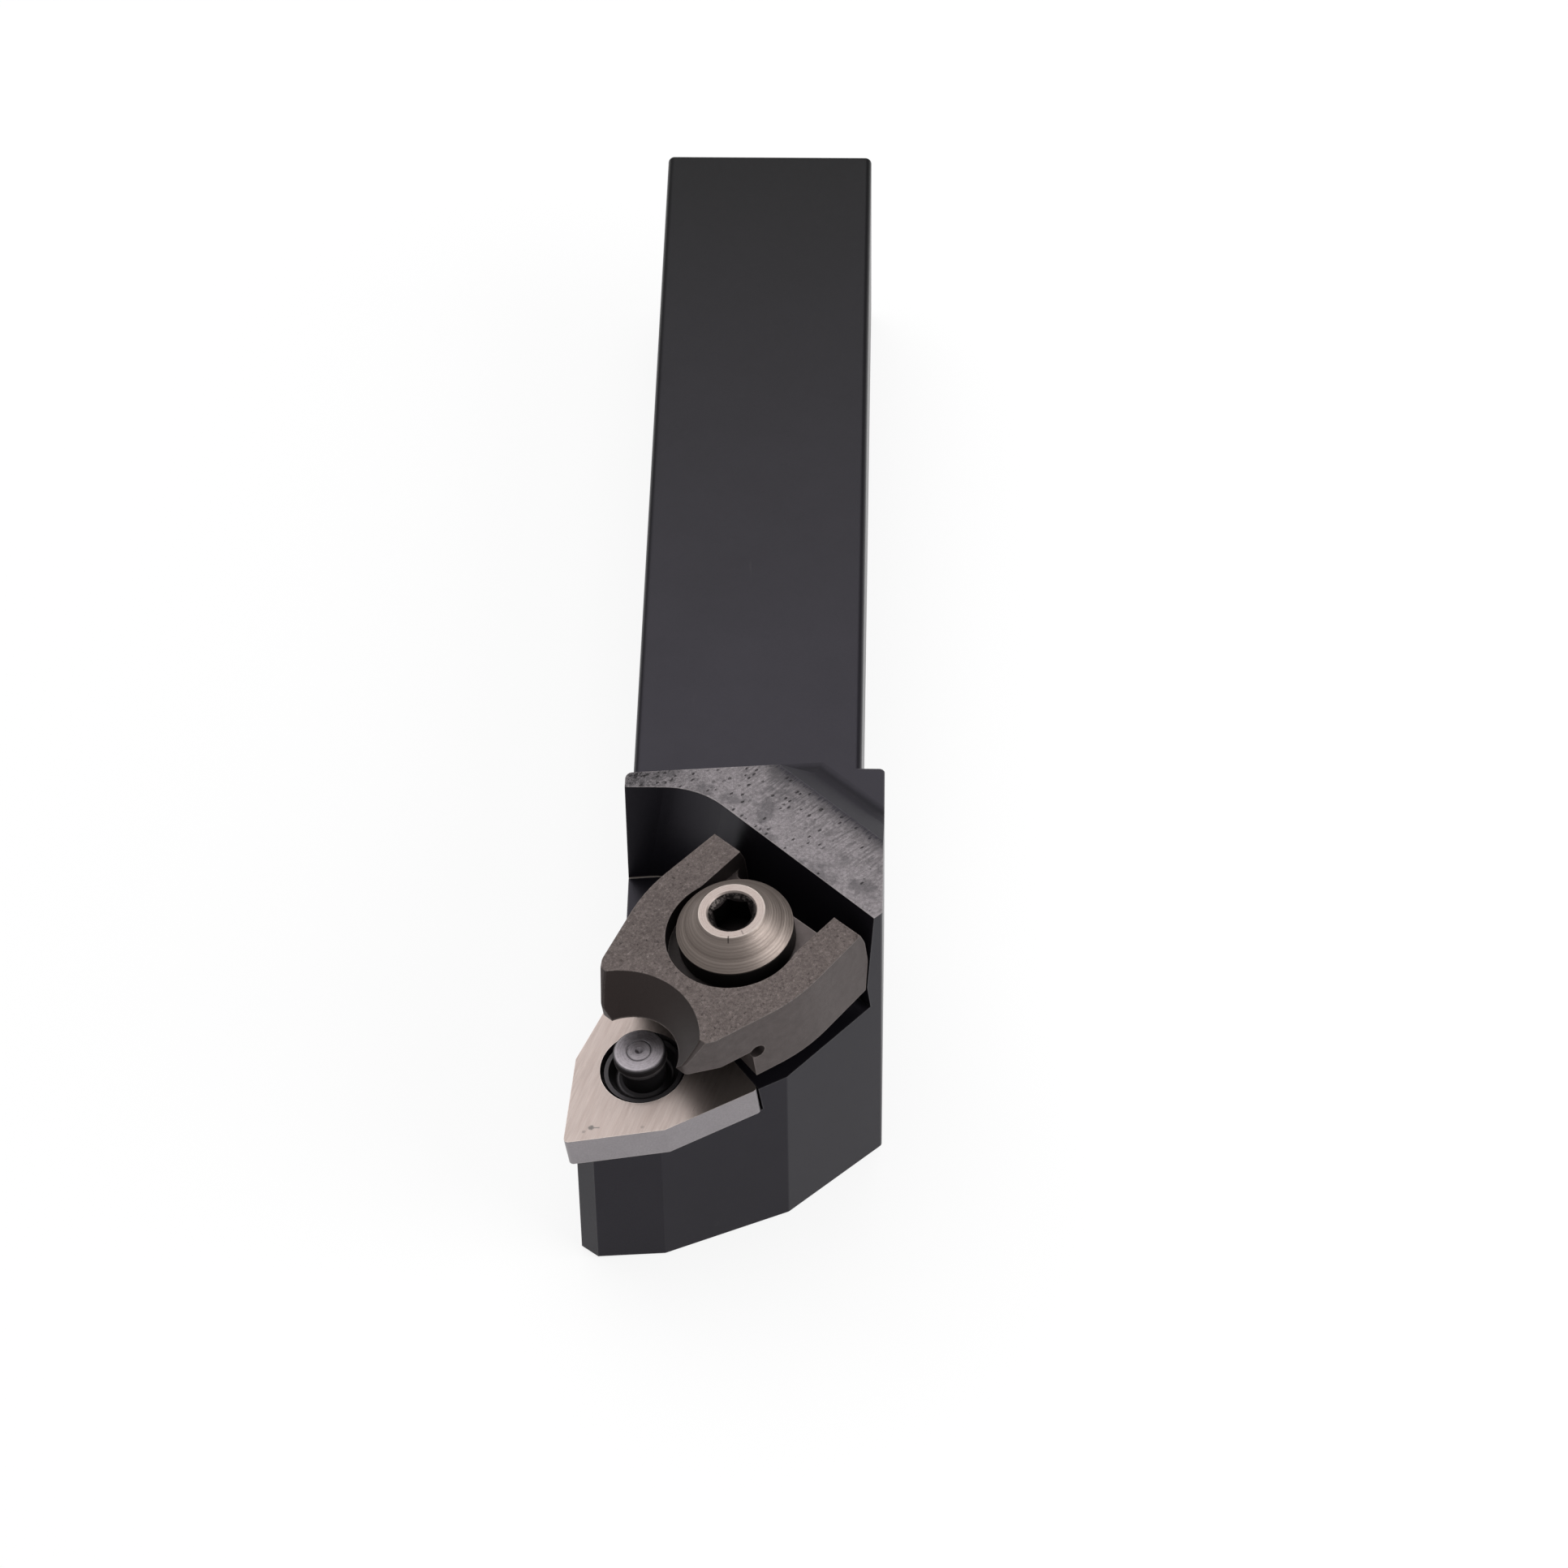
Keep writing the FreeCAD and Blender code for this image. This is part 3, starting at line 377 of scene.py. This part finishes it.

# painted shade: the hollow round the pin is painted darker, on part of a cone that widens and leans forward
# as it rises
hollow_x = calc(tree, "SUBTRACT", x, ramp(tree, z, NOSE_BOTTOM, CLAMP_TOP, *HOLLOW_REACH))
hollow_radius = ramp(tree, z, NOSE_BOTTOM, CLAMP_TOP, *HOLLOW_RADIUS)
hollow_shade = band(tree, long_side(tree, hollow_x, y), hollow_radius, 0.05, 0.2)
smooth = blend_colour(tree, hollow_shade, smooth, (0.03, 0.0215, 0.02, 1))

# painted shade: the slot's sides, the counterbore's wall and the front of its floor are painted almost black
slot_side = band(tree, calc(tree, "ABSOLUTE", y), SLOT_HALF, 0.03, 0.08)
slot_side = times(tree, slot_side, ramp(tree, x, -10.8, -11.2))
from_bore = long_side(tree, calc(tree, "ADD", x, BORE_BACK), y)
bore_wall = band(tree, from_bore, BORE_RADIUS, 0.05, 0.1)
bore_wall = times(tree, bore_wall, ramp(tree, z, BORE_FLOOR + 0.05, BORE_FLOOR + 0.15))
bore_floor = times(tree, ramp(tree, from_bore, BORE_RADIUS + 0.1, BORE_RADIUS), ramp(tree, x, -13.5, -12.0),
                   ramp(tree, z, BORE_FLOOR + 0.15, BORE_FLOOR + 0.05))
slot_and_bore_shade = calc(tree, "MAXIMUM", slot_side, calc(tree, "MAXIMUM", bore_wall, bore_floor))
smooth = blend_colour(tree, times(tree, slot_and_bore_shade, 0.85), smooth, (0.012, 0.009, 0.0085, 1))

colour = blend_colour(tree, on_top, smooth, skin)
# the edges are painted lighter: partly worn, partly a painted highlight
worn_and_lit_edges = times(tree, edges, ramp(tree, grain, 0.4, 0.62, 0.1, 0.6))
colour = blend_colour(tree, worn_and_lit_edges, colour, (0.26, 0.225, 0.21, 1))
rough = calc(tree, "ADD", ramp(tree, fine, 0.3, 0.7, 0.42, 0.55), times(tree, on_top, 0.1))
grain_height = calc(tree, "SUBTRACT", grain, times(tree, dents, 0.6))
grain_share = calc(tree, "MULTIPLY_ADD", on_top, 0.9, 0.1)
height = calc(tree, "ADD", times(tree, grain_height, grain_share), times(tree, fine, 0.12))
steel(tree, colour, rough, height, 0.1, metal=0.7)
give("wedge_clamp", cast)

# Clamp screw
# A turned steel screw that draws the clamp down, with a shallow cone and a six-sided socket in its head.
# The flat ring round the socket is faced bright.
SCREW_SIDE = 0.5
HEAD_SHOULDER = 9.2
HEAD_TOP = 11.3
FACE_RADIUS = 2.8
SOCKET_MOUTH = 2.15
THREAD_TOP = 2.4
THREAD_PITCH = 1.0
screw_origin = seat_origin - SCREW_BACK * seat_x + SCREW_SIDE * seat_y

screw_steel = new_material("turned screw steel")
tree = screw_steel.node_tree
place = coordinates(tree, screw_origin, seat_turn)
x, y, z = parts(tree, place)
distance = radius_in(tree, place)
speckle = noise(tree, place, 2.5, 5.0, 0.7)
ring = rings(tree, distance, 0.19, speckle, 0.12)
along_radius = add(tree, "ShaderNodeCombineXYZ", {"X": distance, "Y": 0.0, "Z": 0.0}).outputs[0]
broad = noise(tree, along_radius, 2.6, 5.0, 0.75)
in_head = ramp(tree, z, HEAD_SHOULDER - 0.2, HEAD_SHOULDER - 0.05)
on_face = times(tree, ramp(tree, distance, FACE_RADIUS - 0.01, FACE_RADIUS - 0.08),
                ramp(tree, z, HEAD_TOP - 0.22, HEAD_TOP - 0.18))
cone = blend_colour(tree, ramp(tree, broad, 0.38, 0.62), (0.16, 0.13, 0.115, 1), (0.32, 0.27, 0.243, 1))
cone = blend_colour(tree, times(tree, ring, 0.3), cone, (0.33, 0.28, 0.25, 1))
cone = blend_colour(tree, ramp(tree, broad, 0.62, 0.68, 0.0, 0.5), cone, (0.42, 0.365, 0.33, 1))
colour = blend_colour(tree, in_head, (0.03, 0.027, 0.026, 1), cone)
face = blend_colour(tree, ramp(tree, speckle, 0.35, 0.7), (0.27, 0.222, 0.203, 1), (0.35, 0.3, 0.277, 1))
face = blend_colour(tree, times(tree, ring, 0.2), face, (0.36, 0.31, 0.29, 1))
# a painted highlight along the outer edge of the faced ring
rim_highlight = band(tree, distance, FACE_RADIUS - 0.02, 0.03, 0.08, 0.5)
colour = blend_colour(tree, on_face, colour, face)
colour = blend_colour(tree, times(tree, rim_highlight, in_head), colour, (0.45, 0.4, 0.37, 1))

# one nick crosses the bright ring's outer edge, and a fainter one lies on the ring
NICKS = ((40.3, 2.55, 3.15, 0.85), (67.4, 2.2, 2.75, 0.5))
for degrees, start, end, strength in NICKS:
    run = np.array([math.cos(math.radians(degrees)), math.sin(math.radians(degrees))])
    nick = scratch(tree, x, y, start * run, end * run, 0.05, strength)
    colour = blend_colour(tree, nick, colour, (0.04, 0.03, 0.027, 1))

# the socket's mouth is torn; inside, the socket is painted almost black as painted shade, a little lighter at
# its mouth
burr = noise(tree, place, 2.4, 4.0, 0.75)
socket = times(tree, ramp(tree, z, HEAD_TOP - 0.1, HEAD_TOP - 0.16),
               ramp(tree, distance, SOCKET_MOUTH - 0.1, SOCKET_MOUTH - 0.15))
mouth = times(tree, ramp(tree, z, HEAD_TOP - 0.55, HEAD_TOP - 0.4), ramp(tree, burr, 0.46, 0.6), 0.8)
socket_shade = blend_colour(tree, mouth, (0.008, 0.006, 0.006, 1), (0.11, 0.095, 0.09, 1))
colour = blend_colour(tree, socket, colour, socket_shade)

# the thread on the shank is a height that turns with the angle and climbs a pitch a turn
angle = calc(tree, "ARCTAN2", y, x)
climb = calc(tree, "SUBTRACT", z, calc(tree, "DIVIDE", angle, 2 * math.pi / THREAD_PITCH))
thread = calc(tree, "PINGPONG", climb, THREAD_PITCH / 2)
on_shank = ramp(tree, z, THREAD_TOP, THREAD_TOP + 0.4, 1.0, 0.0)
head_height = times(tree, calc(tree, "ADD", ring, broad), in_head, 0.012)
height = calc(tree, "ADD", head_height, times(tree, thread, on_shank, 0.8))
steel(tree, colour, ramp(tree, speckle, 0.3, 0.7, 0.42, 0.54), height, 1.0, metal=0.9)
give("clamp_screw", screw_steel)

# Retaining ring
# A snap ring of flattened spring wire, sprung into the screw's neck under the clamp.
# It lifts the clamp when the screw is undone.
spring = new_material("spring wire")
tree = spring.node_tree
place = coordinates(tree, screw_origin, seat_turn)
drawn = noise(tree, place, 6.0, 5.0, 0.6)
colour = blend_colour(tree, ramp(tree, drawn, 0.3, 0.7), (0.1, 0.1, 0.105, 1), (0.2, 0.2, 0.2, 1))
steel(tree, colour, ramp(tree, drawn, 0.3, 0.7, 0.25, 0.4), drawn, 0.01, metal=0.95)
give("retaining_ring", spring)

# Floor, light and camera
# A white table with a soft shadow, a broad lamp overhead and a weaker one from the front right.
# The camera looks down on the head from the front.
REACH = 3.0
DROP = 0.0002
floor_mesh = bpy.data.meshes.new("table")
floor_mesh.from_pydata([(-REACH, -REACH, -DROP), (REACH, -REACH, -DROP), (REACH, REACH, -DROP),
                        (-REACH, REACH, -DROP)], [], [(0, 1, 2, 3)])
table = bpy.data.objects.new("table", floor_mesh)
bpy.context.scene.collection.objects.link(table)
paper = new_material("white paper")
tree = paper.node_tree
rays = add(tree, "ShaderNodeLightPath").outputs
seen = calc(tree, "ADD", rays["Is Camera Ray"], rays["Is Glossy Ray"])
seen = calc(tree, "ADD", seen, rays["Is Transmission Ray"], clamp=True)
matt = add(tree, "ShaderNodeBsdfDiffuse", {"Color": (0.85, 0.85, 0.85, 1)})
glow = add(tree, "ShaderNodeEmission", {"Color": (1, 1, 1, 1), "Strength": 1.0})
half = add(tree, "ShaderNodeMixShader", {"Fac": times(tree, seen, 0.85)})
tree.links.new(matt.outputs[0], half.inputs[1])
tree.links.new(glow.outputs[0], half.inputs[2])
show(tree, half)
table.data.materials.append(paper)

world = bpy.data.worlds.new("studio")
world.use_nodes = True
bpy.context.scene.world = world
background = world.node_tree.nodes["Background"]
background.inputs["Color"].default_value = (1, 1, 1, 1)
background.inputs["Strength"].default_value = 0.42


def lamp(name, place, aim, size, watts):
    """A square area lamp at a place, aimed at a point."""
    light = bpy.data.lights.new(name, "AREA")
    light.shape = "SQUARE"
    light.size = size
    light.energy = watts
    holder = bpy.data.objects.new(name, light)
    holder.location = place
    holder.rotation_euler = (Vector(aim) - Vector(place)).to_track_quat("-Z", "Y").to_euler()
    bpy.context.scene.collection.objects.link(holder)


lamp("overhead", place=(-0.12, 0.3, 0.75), aim=(0, -0.05, 0), size=0.85, watts=5.6)
lamp("front right", place=(0.55, -0.25, 0.33), aim=(0, -0.06, 0.01), size=0.55, watts=3.4)

camera_data = bpy.data.cameras.new("camera")
camera_data.sensor_width = 36.0
camera_data.lens = 125.82
camera_data.shift_x = -0.01101
camera_data.shift_y = -0.04545
camera_data.clip_start = 0.05
camera = bpy.data.objects.new("camera", camera_data)
camera.location = (0.013787, -0.379906, 0.360609)
camera.rotation_euler = (0.790939, 0.007887, 0.018992)
bpy.context.scene.collection.objects.link(camera)
bpy.context.scene.camera = camera
bpy.context.scene.view_settings.view_transform = "Standard"

bpy.context.view_layer.update()
